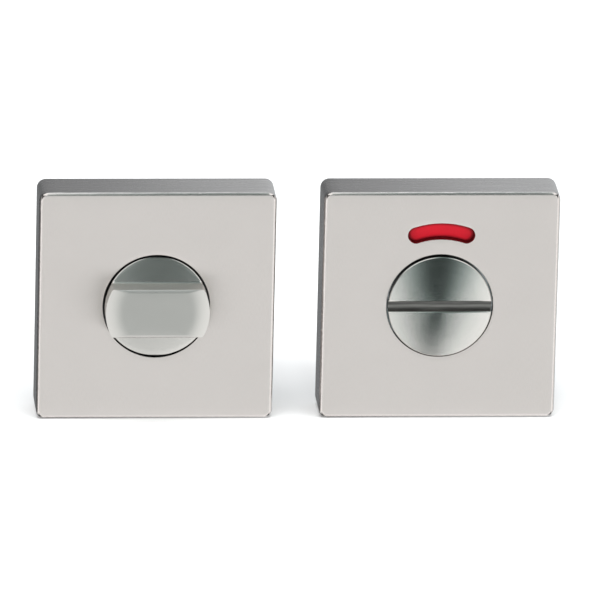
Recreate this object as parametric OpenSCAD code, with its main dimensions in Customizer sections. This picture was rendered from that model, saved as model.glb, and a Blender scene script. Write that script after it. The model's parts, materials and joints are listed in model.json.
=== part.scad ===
// Square toilet indicator bolt: an inside rose with a thumb turn and an outside rose with
// an occupied/vacant window and a coin slot release, shown side by side as one set.
// Both halves lie on the door plane y = 0 and face -y, with +z up. The origin is on the
// spindle axis of the inside half. Each half is drawn with its depth along local +z.

/* [Roses] */
// Width and height of each square rose
rose_w = 53; // [50:0.5:60]
// Depth of each rose from the door to its face
rose_t = 11; // [10:0.5:14]
// Sheet thickness of the pressed covers
cover_wall = 1.5; // [1.2:0.1:1.8]
// Corner radius of the covers, seen from the front
corner_r = 2; // [1.6:0.1:4]
// Radius of the rounded edge round the face
edge_r = 0.9; // [0.4:0.1:1.4]
// Diameter of the round hole in each face
face_hole_d = 24; // [22:0.5:25]
// Width of the notch for prying a cover off
pry_notch_w = 7; // [4:0.5:12]
// Height of the pry notch
pry_notch_h = 1.1; // [0.5:0.1:2]
// Distance between the two spindle axes as the set is laid out
pair_pitch = 63.5; // [62:0.5:90]

/* [Thumb turn] */
// Width of the grip bar
bar_w = 11.3; // [8:0.1:14]
// How far the grip bar stands out of the face
bar_rise = 5.8; // [4:0.1:12]
// How far the disc under the grip bar stands out of the face
turn_rise = 0.7; // [0.2:0.1:1.2]
// Thickness of the disc under the grip bar
turn_disc_t = 2.6; // [2:0.1:3]
// Radius of the rim of the disc
turn_rim_r = 1.1; // [0.5:0.1:1.6]
// Radius of the long edges of the grip bar
bar_edge_r = 0.8; // [0.3:0.1:1.4]
// Radius of the rim at the ends of the grip bar
bar_rim_r = 2; // [0.5:0.1:2.5]
// Radius of the fillet at the foot of the grip bar
bar_foot_r = 0.6; // [0.3:0.1:1.5]

/* [Release] */
// How far the release stands out of the face
release_rise = 0.9; // [0.3:0.1:2]
// Thickness of the release head
release_head_t = 2.8; // [2.6:0.1:3.4]
// Chamfer of the release rim
release_chamfer = 0.7; // [0.3:0.1:1]
// Width of the coin slot
coin_slot_w = 2.1; // [1.5:0.1:3]
// Depth of the coin slot
coin_slot_depth = 1.5; // [0.8:0.1:1.8]

/* [Indicator] */
// Radius of the middle line of the curved window
window_r = 17.6; // [16.8:0.1:18.5]
// Width of the curved window
window_w = 3.7; // [2.5:0.1:4.2]
// Angle from the middle of the window to the centre of its round end
window_half_angle = 21; // [12:1:30]
// Rim of the indicator plate outside the window
plate_margin = 1.55; // [1:0.05:2.2]
// Thickness of the indicator plate
plate_t = 0.8; // [0.5:0.1:1]
// Radius of the round middle of the indicator plate
plate_hub_r = 12.4; // [11:0.1:13]
// Border that a colour sector keeps past the window on every side
sector_margin = 1.15; // [0.5:0.05:1.4]
// Thickness of a colour sector
sector_t = 0.15; // [0.1:0.05:0.2]
// Diameter of the round boss with two flats that drives the plate
drive_boss_d = 18; // [16.5:0.1:20]
// Distance across the flats of the drive boss
drive_boss_af = 15; // [14.4:0.1:16]
// Diameter of the two stop posts
stop_post_d = 3; // [2:0.1:4]

/* [Neck and spindle] */
// Diameter of the neck of the turn and of the release
neck_d = 14; // [13.4:0.1:14.6]
// Distance across the two flats at the rear of the thumb turn neck
neck_af = 12; // [11:0.1:12.8]
// Length of the neck behind the door plane
neck_tail = 6; // [4:0.5:10]
// Width across the flats of the square spindle
spindle_af = 8; // [7:0.5:8.5]
// Length of the spindle
spindle_len = 60; // [50:1:90]
// Chamfer on the corners and ends of the spindle
spindle_chamfer = 0.5; // [0.2:0.1:0.8]
// Depth of each square socket inside the door plane
socket_reach = 7; // [3:0.1:7.5]
// Diameter of the grub screw in the thumb turn neck
grub_d = 4; // [3:0.1:4.5]
// Width across the flats of the grub screw's hexagon socket
grub_hex_af = 2; // [1.5:0.1:2]

/* [Bearing and retaining parts] */
// Wall of the bearing bushes
bush_wall = 1; // [0.8:0.1:1.2]
// Thickness of a bush flange
bush_flange_t = 0.8; // [0.5:0.1:1]
// Diameter of a bush flange
bush_flange_d = 21; // [19:0.5:23]
// Sheet thickness of the conical spring washers
washer_t = 0.3; // [0.2:0.05:0.4]
// Free height of the conical spring washers
washer_h = 0.65; // [0.5:0.05:0.8]
// Outer diameter of the conical spring washers
washer_d = 20.4; // [18:0.1:20.8]
// Thickness of the stop plate
stop_plate_t = 1; // [0.8:0.1:1.2]
// Radius of the round part of the stop plate
stop_plate_r = 9; // [8.6:0.1:9.6]
// How far the stop tab stands out of the stop plate
stop_tab_h = 1.6; // [1.2:0.1:1.8]
// Width of the stop tab
stop_tab_w = 3; // [2:0.1:4]
// Thickness of the circlips
circlip_t = 1; // [0.8:0.1:1.2]
// Width of a circlip opposite its gap
circlip_w = 2.4; // [1.8:0.1:2.8]
// Depth of the circlip groove in the neck
groove_depth = 0.5; // [0.3:0.05:0.6]
// Radius of a circlip's eyes
circlip_eye_r = 1.5; // [1.2:0.1:1.6]

/* [Base plates] */
// Thickness of the floor of a base plate
floor_t = 2.2; // [1.8:0.1:3]
// Thickness of the rim and ribs
rim_t = 1.4; // [1:0.1:2]
// Space between the rim and the face of the cover
rim_gap = 2; // [1.6:0.1:3]
// Thickness of the web that holds the bush
web_t = 2; // [1.5:0.1:2.2]
// Wall round the retaining parts in the hub
hub_wall = 1.3; // [1:0.1:1.8]
// Diameter of the bosses round the fixings
boss_d = 10; // [9.5:0.1:11]
// Height of the bosses above the door
boss_h = 4.4; // [4.2:0.1:5]
// Length of the locating lugs behind the inside half
lug_len = 6; // [3:0.5:9]
// Diameter of the locating lugs and of the threaded pillars
lug_d = 8; // [7.5:0.1:9]

/* [Cover springs] */
// Width of a cover spring
clip_w = 8; // [5:0.5:12]
// Thickness of a cover spring
clip_t = 0.4; // [0.3:0.05:0.5]
// Bulge radius of a cover spring
clip_bend_r = 6; // [5:0.5:9]
// Length of the foot of a cover spring
clip_foot = 4.4; // [4:0.1:5]
// Diameter of the stake that holds a cover spring
clip_stake_d = 2; // [1.5:0.1:2.4]

/* [Fixings] */
// Distance between the two fixings
fixing_pitch = 38; // [36.5:0.5:38.5]
// Thread diameter of the fixing bolts
bolt_d = 4; // [3.5:0.1:4.2]
// Shank diameter between the head and the thread
bolt_shank_d = 3.5; // [3:0.1:3.5]
// Length of the fixing bolts with their heads
bolt_len = 40; // [30:1:60]
// Diameter of a countersunk bolt head
bolt_head_d = 7.9; // [7:0.1:8.4]
// Width of the cross recess in a bolt head
cross_w = 0.9; // [0.6:0.1:1.2]
// Length of the threaded pillars
pillar_len = 30; // [20:1:36]
// Radius of the tapped bore in a pillar
pillar_bore_r = 1.65; // [1.4:0.05:1.8]
// Depth of the tapped bore in a pillar
pillar_bore_len = 26; // [14:1:28]
// Diameter of the pillar's spigot in the base plate
spigot_d = 6; // [5:0.1:6.5]
// Depth of the counterbore that the pillar's shoulder seats in
pillar_seat = 1; // [0.5:0.1:1.4]

/* [Clearances] */
// Gap between a turning head and the hole in the cover
head_gap = 0.4; // [0.2:0.05:0.8]
// Gap between a cover and its base plate
cover_fit = 0.2; // [0.1:0.05:0.3]
// Running clearance of a neck in its bush
neck_run = 0.06; // [0.02:0.01:0.1]
// Clearance of a bush, spigot or screw in its seat
seat_fit = 0.03; // [0.01:0.01:0.06]
// Clearance of the spindle in its socket
spindle_fit = 0.05; // [0.02:0.01:0.1]
// Axial gap between pieces that turn and pieces that stand still
axial_gap = 0.15; // [0.1:0.05:0.3]
// Gap at the stops and round the retaining parts
stop_gap = 0.3; // [0.2:0.05:0.5]
// Clearance round a fixing bolt
bolt_gap = 0.15; // [0.1:0.05:0.4]

/* [Hidden] */
$fn = 96;
eps = 0.05;

SATIN = [0.80, 0.79, 0.77];
CAST_ZINC = [0.60, 0.61, 0.62];
NYLON = [0.88, 0.87, 0.82];
SPRING_STEEL = [0.42, 0.43, 0.45];
PLATED = [0.74, 0.75, 0.76];
RED = [0.84, 0.14, 0.21];
WHITE = [0.95, 0.95, 0.93];

turn_angle = 90;
cover_inside_w = rose_w - 2 * cover_wall;
cover_inside_r = max(corner_r - cover_wall, 0.3);
cover_inside_t = rose_t - cover_wall;
base_w = cover_inside_w - 2 * cover_fit;
rim_top = cover_inside_t - rim_gap;

head_r = face_hole_d / 2 - head_gap;
neck_r = neck_d / 2;
neck_bore_r = neck_r + neck_run;
bush_r = neck_bore_r + bush_wall;
socket_w = spindle_af + 2 * spindle_fit;
bolt_hole_r = bolt_d / 2 + bolt_gap;

// Depths of the inside half, from the disc's face back to the door
turn_floor = rose_t + turn_rise;
bar_top = rose_t + bar_rise;
turn_under = turn_floor - turn_disc_t;
turn_web_top = turn_under - washer_h - axial_gap - bush_flange_t;
stop_plate_top = turn_web_top - web_t - axial_gap;
turn_circlip_top = stop_plate_top - stop_plate_t;

// Depths of the outside half, from the release back to the door
release_face = rose_t + release_rise;
release_under = release_face - release_head_t;
plate_under = release_under - plate_t;
release_web_top = plate_under - washer_h - axial_gap - bush_flange_t;
release_circlip_top = release_web_top - web_t - axial_gap;

circlip_r = neck_r - groove_depth;
circlip_eye_at = circlip_r + circlip_eye_r;
circlip_pocket_r = circlip_eye_at + circlip_eye_r + stop_gap;
circlip_half_gap = 22;
tab_pocket_r = stop_plate_r + stop_tab_h + stop_gap;
tab_rest_angle = 180;
hub_r = max(circlip_pocket_r, tab_pocket_r) + hub_wall;

plate_r = window_r + window_w / 2 + plate_margin;
plate_from = -45;
plate_to = 135;
sector_r_in = window_r - window_w / 2 - sector_margin;
sector_r_out = window_r + window_w / 2 + sector_margin;
window_end_angle = asin((window_w / 2 + sector_margin) / window_r);
sector_half_angle = window_half_angle + window_end_angle;
stop_post_at = plate_r - stop_post_d;
stop_post_lead = asin((stop_post_d / 2 + stop_gap) / stop_post_at);

clip_face = cover_inside_w / 2 - seat_fit;
clip_top = rim_top - stop_gap;
clip_stake_at = clip_face - clip_foot + clip_stake_d;
clip_recess_w = clip_w + 2 * stop_gap;

// Turns local depth +z to face out of the door, on the inside half
module inside_half() {
    rotate([90, 0, 0]) children();
}

// The same for the outside half, one pitch along +x
module outside_half() {
    translate([pair_pitch, 0, 0]) rotate([90, 0, 0]) children();
}

// Puts a copy at each of the two fixings
module at_fixings() {
    for (side = [-1, 1]) translate([side * fixing_pitch / 2, 0, 0]) children();
}

module rounded_square(w, r) {
    square([w - 2 * r, w], center = true);
    square([w, w - 2 * r], center = true);
    for (x = [-1, 1], y = [-1, 1]) translate([x * (w / 2 - r), y * (w / 2 - r)]) circle(r);
}

// Upright section of width w and height h with both top corners rounded
module arched_section(w, h, r) {
    translate([-w / 2, 0]) square([w, h - r]);
    translate([-w / 2 + r, 0]) square([w - 2 * r, h]);
    for (x = [-1, 1]) translate([x * (w / 2 - r), h - r]) circle(r);
}

// Round plug of radius r and height h with a rounded top rim
module rounded_plug(r, h, rim) {
    rotate_extrude() intersection() {
        arched_section(2 * r, h, rim);
        square([r, h]);
    }
}

// Square slab with rounded corners and a rounded edge round its face
module pressed_slab(w, h, corner, edge) {
    run = w - 2 * corner;
    rotate([90, 0, 0]) linear_extrude(run, center = true) arched_section(w, h, edge);
    rotate([90, 0, 90]) linear_extrude(run, center = true) arched_section(w, h, edge);
    for (x = [-1, 1], y = [-1, 1])
        translate([x * run / 2, y * run / 2, 0]) rounded_plug(corner, h, edge);
}

// Flat ring sector between two radii and two angles
module ring_sector(r_in, r_out, from, to, h) {
    rotate([0, 0, from]) rotate_extrude(angle = to - from)
        translate([r_in, 0]) square([r_out - r_in, h]);
}

// Round bar with two flats, for necks, bosses and the holes that fit them
module double_flat(r, af) {
    intersection() {
        circle(r);
        square([af, 2 * r + 1], center = true);
    }
}

// Pressed cover with its round hole and pry notch
module cover() {
    difference() {
        pressed_slab(rose_w, rose_t, corner_r, edge_r);
        translate([0, 0, -eps]) linear_extrude(cover_inside_t + eps)
            rounded_square(cover_inside_w, cover_inside_r);
        cylinder(h = rose_t + 1, d = face_hole_d);
        translate([-pry_notch_w / 2, -rose_w / 2 - 1, -eps])
            cube([pry_notch_w, cover_wall + 1.2, pry_notch_h + eps]);
    }
}

// Curved slot with round ends above the release
module window_slot() {
    translate([0, 0, cover_inside_t - 1]) {
        ring_sector(window_r - window_w / 2, window_r + window_w / 2,
            90 - window_half_angle, 90 + window_half_angle, cover_wall + 2);
        for (side = [-1, 1]) rotate([0, 0, 90 + side * window_half_angle])
            translate([window_r, 0, 0]) cylinder(h = cover_wall + 2, d = window_w);
    }
}

// Cast plate with rim, ribs, hub and fixing bosses; the hub's web ends at web_top
module base_casting(web_top, fixing_hole_r) {
    rib_top = min(boss_h, web_top);
    difference() {
        union() {
            linear_extrude(floor_t) rounded_square(base_w, cover_inside_r);
            difference() {
                linear_extrude(rim_top) rounded_square(base_w, cover_inside_r);
                translate([0, 0, floor_t])
                    linear_extrude(rim_top) square(base_w - 2 * rim_t, center = true);
                for (side = [-1, 1])
                    translate([-clip_recess_w / 2, side * base_w / 2 - rim_t - eps, floor_t])
                        cube([clip_recess_w, 2 * (rim_t + eps), rim_top]);
            }
            cylinder(h = web_top, r = hub_r);
            at_fixings() cylinder(h = boss_h, d = boss_d);
            for (turn = [0, 45, 135]) rotate([0, 0, turn])
                translate([-base_w / 2 + rim_t / 2, -rim_t / 2, 0])
                    cube([base_w - rim_t, rim_t, rib_top]);
            for (side = [-1, 1]) translate([0, side * clip_stake_at, 0])
                cylinder(h = floor_t + clip_t + stop_gap, d = clip_stake_d);
        }
        translate([0, 0, -eps]) cylinder(h = web_top + 1, r = bush_r + seat_fit);
        at_fixings() translate([0, 0, -eps]) cylinder(h = boss_h + 1, r = fixing_hole_r);
    }
}

// Bush with a flange that lies on the hub's web
module bearing_bush(web_top) {
    color(NYLON) translate([0, 0, web_top]) rotate_extrude() {
        translate([neck_bore_r, -web_t]) square([bush_wall, web_t + bush_flange_t]);
        translate([neck_bore_r, 0]) square([bush_flange_d / 2 - neck_bore_r, bush_flange_t]);
    }
}

// Conical spring washer whose inner edge bears on the face above it
module spring_washer(top) {
    inner = neck_r + stop_gap;
    outer = washer_d / 2;
    color(SPRING_STEEL) translate([0, 0, top - washer_h]) rotate_extrude()
        polygon([[inner, washer_h - washer_t], [inner, washer_h], [outer, washer_t], [outer, 0]]);
}

// Snap ring with two eyes, its gap at the bottom
module circlip(top) {
    grow = (circlip_w - circlip_eye_r) / 2;
    color(SPRING_STEEL) translate([0, 0, top - circlip_t]) linear_extrude(circlip_t)
    difference() {
        union() {
            translate([0, grow]) circle(circlip_r + circlip_w - grow);
            for (side = [-1, 1]) rotate(-90 + side * circlip_half_gap)
                translate([circlip_eye_at, 0]) circle(circlip_eye_r);
        }
        circle(circlip_r);
        polygon([[0, 0], for (side = [-1, 1])
            [side * 2 * circlip_pocket_r * tan(circlip_half_gap / 2), -2 * circlip_pocket_r]]);
        for (side = [-1, 1]) rotate(-90 + side * circlip_half_gap)
            translate([circlip_eye_at, 0]) circle(circlip_eye_r * 0.45, $fn = 32);
    }
}

// Pair of bulged leaf springs, staked to the floor at the top and bottom edge
module cover_springs() {
    color(SPRING_STEEL) for (turn = [0, 180]) rotate([0, 0, turn])
        difference() {
            rotate([90, 0, 90]) linear_extrude(clip_w, center = true) {
                height = clip_top - floor_t;
                translate([clip_face - clip_bend_r, floor_t + height / 2]) intersection() {
                    difference() {
                        circle(clip_bend_r);
                        circle(clip_bend_r - clip_t);
                    }
                    translate([0, -height / 2]) square([clip_bend_r + 1, height]);
                }
                sag = clip_bend_r - sqrt(pow(clip_bend_r - clip_t, 2) - pow(height / 2 - clip_t, 2));
                translate([clip_face - clip_foot, floor_t]) square([clip_foot - sag + eps, clip_t]);
            }
            translate([0, clip_stake_at, 0])
                cylinder(h = clip_top, r = clip_stake_d / 2 + seat_fit);
        }
}

// Square hole for the spindle, open at the rear
module spindle_socket() {
    translate([-socket_w / 2, -socket_w / 2, -neck_tail - 1])
        cube([socket_w, socket_w, neck_tail + 1 + socket_reach]);
}

// Groove that the circlip snaps into
module circlip_groove(top) {
    translate([0, 0, top - circlip_t]) difference() {
        cylinder(h = circlip_t, r = neck_r + 1);
        translate([0, 0, -1]) cylinder(h = circlip_t + 2, r = circlip_r);
    }
}

module inside_cover() {
    color(SATIN) inside_half() cover();
}

module outside_cover() {
    color(SATIN) outside_half() difference() {
        cover();
        window_slot();
    }
}

module inside_base_plate() {
    color(CAST_ZINC) inside_half() difference() {
        union() {
            base_casting(turn_web_top, bolt_hole_r);
            at_fixings() translate([0, 0, -lug_len]) difference() {
                cylinder(h = lug_len + eps, d = lug_d);
                translate([0, 0, -1]) cylinder(h = lug_len + 2, r = bolt_hole_r);
            }
        }
        at_fixings() translate([0, 0, boss_h - bolt_head_d / 2 + bolt_hole_r - bolt_gap])
            cylinder(h = bolt_head_d / 2 + bolt_gap, r1 = bolt_hole_r - bolt_gap,
                r2 = bolt_hole_r + bolt_head_d / 2);
        translate([0, 0, -eps]) cylinder(h = turn_circlip_top + stop_gap + eps, r = circlip_pocket_r);
        translate([0, 0, -eps]) cylinder(h = turn_web_top - web_t + eps, r = stop_plate_r + stop_gap);
        tab_half = asin((stop_tab_w / 2 + stop_gap) / stop_plate_r);
        ring_sector(stop_plate_r, tab_pocket_r, tab_rest_angle - turn_angle - tab_half,
            tab_rest_angle + tab_half, turn_web_top - web_t);
    }
}

module outside_base_plate() {
    color(CAST_ZINC) outside_half() difference() {
        union() {
            base_casting(release_web_top, spigot_d / 2 + seat_fit);
            for (lead = [plate_from - stop_post_lead, plate_to + turn_angle + stop_post_lead])
                rotate([0, 0, lead]) translate([stop_post_at, 0, 0])
                    cylinder(h = release_under, d = stop_post_d);
        }
        translate([0, 0, -eps])
            cylinder(h = release_web_top - web_t + eps, r = circlip_pocket_r);
        at_fixings() translate([0, 0, -eps])
            cylinder(h = pillar_seat + eps, r = lug_d / 2 + seat_fit);
    }
}

module inside_bearing_bush() {
    inside_half() bearing_bush(turn_web_top);
}

module outside_bearing_bush() {
    outside_half() bearing_bush(release_web_top);
}

module inside_cover_springs() {
    inside_half() cover_springs();
}

module outside_cover_springs() {
    outside_half() cover_springs();
}

// Grip bar with round ends, rounded edges and a fillet at its foot
module grip_bar() {
    intersection() {
        rounded_plug(head_r, bar_top, bar_rim_r);
        rotate([90, 0, 90]) linear_extrude(2 * head_r + 2, center = true)
            translate([0, turn_under]) arched_section(bar_w, bar_top - turn_under, bar_edge_r);
    }
    intersection() {
        cylinder(h = bar_top, r = head_r - turn_rim_r);
        rotate([90, 0, 90]) linear_extrude(2 * head_r + 2, center = true) difference() {
            translate([-bar_w / 2 - bar_foot_r, turn_floor - bar_foot_r])
                square([bar_w + 2 * bar_foot_r, 2 * bar_foot_r]);
            for (side = [-1, 1])
                translate([side * (bar_w / 2 + bar_foot_r), turn_floor + bar_foot_r])
                    circle(bar_foot_r);
        }
    }
}

module thumb_turn() {
    color(SATIN) inside_half() difference() {
        union() {
            translate([0, 0, turn_under]) rounded_plug(head_r, turn_disc_t, turn_rim_r);
            grip_bar();
            translate([0, 0, stop_plate_top]) cylinder(h = turn_under - stop_plate_top + eps, r = neck_r);
            translate([0, 0, -neck_tail]) linear_extrude(neck_tail + stop_plate_top)
                double_flat(neck_r, neck_af);
        }
        spindle_socket();
        circlip_groove(turn_circlip_top);
        translate([0, 0, -neck_tail / 2]) rotate([-90, 0, 0])
            cylinder(h = neck_r + 1, r = grub_d / 2 + seat_fit);
    }
}

module turn_spring_washer() {
    inside_half() spring_washer(turn_under);
}

module turn_stop_plate() {
    color(SPRING_STEEL) inside_half()
        translate([0, 0, turn_circlip_top]) linear_extrude(stop_plate_t) difference() {
            union() {
                circle(stop_plate_r);
                rotate(tab_rest_angle) translate([0, -stop_tab_w / 2])
                    square([stop_plate_r + stop_tab_h, stop_tab_w]);
            }
            double_flat(neck_r + seat_fit, neck_af + 2 * seat_fit);
        }
}

module turn_circlip() {
    inside_half() circlip(turn_circlip_top);
}

module spindle() {
    c = spindle_chamfer;
    h = spindle_af / 2;
    outline = [[h - c, -h], [h, c - h], [h, h - c], [h - c, h],
        [c - h, h], [-h, h - c], [-h, c - h], [c - h, -h]];
    front = socket_reach - stop_gap;
    color(PLATED) inside_half() translate([0, 0, front - spindle_len]) intersection() {
        linear_extrude(spindle_len) polygon(outline);
        for (turn = [0, 90]) rotate([90, 0, turn])
            linear_extrude(2 * spindle_af, center = true)
                polygon([[c - h, 0], [h - c, 0], [h, c], [h, spindle_len - c],
                    [h - c, spindle_len], [c - h, spindle_len], [-h, spindle_len - c], [-h, c]]);
    }
}

module spindle_grub_screw() {
    length = neck_r - spindle_af / 2 - 2 * seat_fit;
    color(SPRING_STEEL) inside_half()
        translate([0, spindle_af / 2 + seat_fit, -neck_tail / 2]) rotate([-90, 0, 0]) difference() {
            cylinder(h = length, d = grub_d);
            translate([0, 0, length / 2])
                cylinder(h = length, r = grub_hex_af / sqrt(3), $fn = 6);
        }
}

// Countersunk bolt with a cross recess, its head flush with the boss
module fixing_bolts() {
    head_h = (bolt_head_d - bolt_shank_d) / 2;
    thread_top = -lug_len - stop_gap;
    tip = boss_h - bolt_len;
    color(PLATED) inside_half() at_fixings() difference() {
        union() {
            translate([0, 0, boss_h - head_h])
                cylinder(h = head_h, d1 = bolt_shank_d, d2 = bolt_head_d);
            translate([0, 0, thread_top - eps])
                cylinder(h = boss_h - head_h - thread_top + 2 * eps, d = bolt_shank_d);
            translate([0, 0, tip + bolt_d / 8])
                cylinder(h = thread_top - tip - bolt_d / 8, d = bolt_d);
            translate([0, 0, tip]) cylinder(h = bolt_d / 8, d1 = bolt_d * 0.75, d2 = bolt_d);
        }
        for (turn = [45, 135]) rotate([0, 0, turn])
            translate([-bolt_head_d / 4, -cross_w / 2, boss_h - head_h * 0.7])
                cube([bolt_head_d / 2, cross_w, head_h]);
    }
}

module release_turn() {
    color(SATIN) outside_half() difference() {
        union() {
            translate([0, 0, release_under])
                cylinder(h = release_head_t - release_chamfer, r = head_r);
            translate([0, 0, release_face - release_chamfer])
                cylinder(h = release_chamfer, r1 = head_r, r2 = head_r - release_chamfer);
            translate([0, 0, plate_under]) linear_extrude(plate_t + eps)
                double_flat(drive_boss_d / 2, drive_boss_af);
            translate([0, 0, -neck_tail]) cylinder(h = neck_tail + plate_under + eps, r = neck_r);
        }
        spindle_socket();
        circlip_groove(release_circlip_top);
        translate([-head_r - 1, -coin_slot_w / 2, release_face - coin_slot_depth])
            cube([2 * head_r + 2, coin_slot_w, coin_slot_depth + 1]);
    }
}

module release_spring_washer() {
    outside_half() spring_washer(plate_under);
}

module release_circlip() {
    outside_half() circlip(release_circlip_top);
}

// Half disc that carries the two colours, with edges that meet the stop posts
module indicator_plate() {
    color(PLATED) outside_half() translate([0, 0, plate_under]) linear_extrude(plate_t)
        difference() {
            union() {
                circle(plate_hub_r);
                intersection() {
                    circle(plate_r);
                    rotate(plate_from) translate([-plate_r, 0]) square([2 * plate_r, plate_r]);
                }
            }
            double_flat(drive_boss_d / 2 + seat_fit, drive_boss_af + 2 * seat_fit);
        }
}

module colour_sector(middle) {
    outside_half() translate([0, 0, release_under])
        ring_sector(sector_r_in, sector_r_out,
            middle - sector_half_angle, middle + sector_half_angle, sector_t);
}

module occupied_sector() {
    color(RED) colour_sector(90);
}

module vacant_sector() {
    color(WHITE) colour_sector(90 - turn_angle);
}

// Tapped pillars that reach into the door, each staked into a boss
module threaded_pillars() {
    color(PLATED) outside_half() at_fixings() difference() {
        union() {
            translate([0, 0, -pillar_len]) cylinder(h = pillar_len + pillar_seat, d = lug_d);
            cylinder(h = boss_h + eps, d = spigot_d);
            translate([0, 0, boss_h])
                cylinder(h = stop_gap, d1 = spigot_d + 4 * stop_gap, d2 = spigot_d + 2 * stop_gap);
        }
        translate([0, 0, -pillar_len - 1]) cylinder(h = pillar_bore_len + 1, r = pillar_bore_r);
    }
}

inside_cover();
inside_base_plate();
inside_bearing_bush();
inside_cover_springs();
thumb_turn();
turn_spring_washer();
turn_stop_plate();
turn_circlip();
spindle();
spindle_grub_screw();
fixing_bolts();
outside_cover();
outside_base_plate();
outside_bearing_bush();
outside_cover_springs();
release_turn();
release_spring_washer();
release_circlip();
indicator_plate();
occupied_sector();
vacant_sector();
threaded_pillars();
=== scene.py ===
"""Looks of a square toilet indicator bolt: satin covers, turned heads, threads and cast parts.

Each half of the set has its own frame: u to the right, v up and d out of the door, centred on
its spindle. A size here is in metres, as in the scene."""
import json
import math

import bmesh
import bpy
import numpy as np
from bpy.props import FloatProperty, FloatVectorProperty, PointerProperty
from mathutils import Matrix, Vector


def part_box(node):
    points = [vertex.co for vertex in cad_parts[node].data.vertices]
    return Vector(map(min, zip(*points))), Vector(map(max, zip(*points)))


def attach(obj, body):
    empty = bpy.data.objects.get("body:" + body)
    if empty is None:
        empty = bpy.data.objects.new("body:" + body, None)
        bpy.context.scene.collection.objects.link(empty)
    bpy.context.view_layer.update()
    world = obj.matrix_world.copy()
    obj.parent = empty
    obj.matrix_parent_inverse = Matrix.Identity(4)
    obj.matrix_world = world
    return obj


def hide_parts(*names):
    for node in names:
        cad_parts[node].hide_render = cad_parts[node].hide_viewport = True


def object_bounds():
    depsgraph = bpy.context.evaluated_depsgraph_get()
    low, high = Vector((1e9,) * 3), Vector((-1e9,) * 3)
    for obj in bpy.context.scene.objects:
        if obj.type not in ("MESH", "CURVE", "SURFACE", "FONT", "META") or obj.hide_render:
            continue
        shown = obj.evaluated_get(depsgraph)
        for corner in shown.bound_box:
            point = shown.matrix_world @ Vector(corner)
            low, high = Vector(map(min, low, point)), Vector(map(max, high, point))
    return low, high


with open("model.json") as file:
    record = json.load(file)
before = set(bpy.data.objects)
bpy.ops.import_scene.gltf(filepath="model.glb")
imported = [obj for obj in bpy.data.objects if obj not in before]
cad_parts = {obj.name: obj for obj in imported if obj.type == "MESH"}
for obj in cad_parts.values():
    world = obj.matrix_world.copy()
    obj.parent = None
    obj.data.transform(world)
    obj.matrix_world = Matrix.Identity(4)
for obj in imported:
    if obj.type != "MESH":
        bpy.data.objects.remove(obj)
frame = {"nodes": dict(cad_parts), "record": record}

bl_info = {
    "name": "Square indicator bolt looks",
    "version": (1, 0, 0),
    "blender": (4, 5, 0),
    "location": "View3D > Sidebar > Indicator bolt",
    "description": "Dresses a packed indicator bolt in satin steel, turned steel and cast zinc",
    "category": "Object",
}

CAD_BOX = [list(corner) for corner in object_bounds()]
MM = 0.001
QUARTER = math.pi / 2
TURN = 2 * math.pi
MERGE = 2e-6                  # points closer than this become one
SHARP = math.radians(32)      # faces that meet at a larger angle keep their edge


def span(node, axis):
    """Lowest and highest value of a CAD node's box along one axis."""
    low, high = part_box(node)
    return low[axis], high[axis]


PITCH = sum(span("outside_cover", 0)) / 2
ROSE_W = span("inside_cover", 0)[1] - span("inside_cover", 0)[0]
ROSE_T = -span("inside_cover", 1)[0]
BAR_TOP = -span("thumb_turn", 1)[0]
HEAD_R = span("thumb_turn", 0)[1]
RELEASE_FACE = -span("release_turn", 1)[0]
NECK_END = -span("thumb_turn", 1)[1]
PILLAR_END = -span("threaded_pillars", 1)[1]
BOLT_TIP = -span("fixing_bolts", 1)[1]
BOLT_TOP = -span("fixing_bolts", 1)[0]
PILLAR_R = (span("threaded_pillars", 2)[1] - span("threaded_pillars", 2)[0]) / 2
FIXING_PITCH = span("threaded_pillars", 0)[1] - span("threaded_pillars", 0)[0] - 2 * PILLAR_R
INSIDE_AT = 0.0
OUTSIDE_AT = PITCH


def depth_span(node):
    """How far the front and the back of a CAD node lie in front of the door."""
    return -span(node, 1)[0], -span(node, 1)[1]


def length(name, description, millimetres):
    """A size in millimetres as a Blender length."""
    return FloatProperty(name=name, description=description, default=millimetres * MM,
                         min=0.0, precision=5, unit="LENGTH")


def rotation(name, description, degrees):
    """An angle in degrees as a Blender angle."""
    return FloatProperty(name=name, description=description, default=math.radians(degrees),
                         subtype="ANGLE")


def colour(name, description, rgb):
    """A surface colour."""
    return FloatVectorProperty(name=name, description=description, default=rgb,
                               size=3, min=0.0, max=1.0, subtype="COLOR")


def share(name, description, value):
    """A number from 0 to 1."""
    return FloatProperty(name=name, description=description, default=value,
                         min=0.0, max=1.0, subtype="FACTOR")


class CoverSizes(bpy.types.PropertyGroup):
    """Sizes of the two pressed covers"""
    wall: length("Wall", "Sheet thickness", 1.5)
    corner_r: length("Corner radius", "Radius of the corners seen from the front", 2.0)
    edge_r: length("Edge radius", "Radius of the edge round the face", 0.9)
    crown: length("Crown", "How far the face falls away next to its edge", 0.05)
    crown_w: length("Crown width", "Width of the stretch that falls away", 2.6)
    lip_r: length("Lip radius", "Radius of the rim of each opening", 0.1)
    foot_r: length("Foot radius", "Radius of the cut edge on the door", 0.2)
    hole_r: length("Hole radius", "Radius of the round hole", 12.0)
    window_r: length("Window radius", "Radius of the middle line of the window", 17.4)
    window_w: length("Window width", "Width of the window", 3.75)
    window_draft: length("Window draft", "How far each wall of the window leans inwards", 0.25)
    window_half_angle: rotation("Window half angle", "From its middle to a round end", 19.0)
    notch_w: length("Notch width", "Width of the notch for prying the cover off", 7.0)
    notch_h: length("Notch height", "Height of the pry notch", 1.1)


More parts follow.
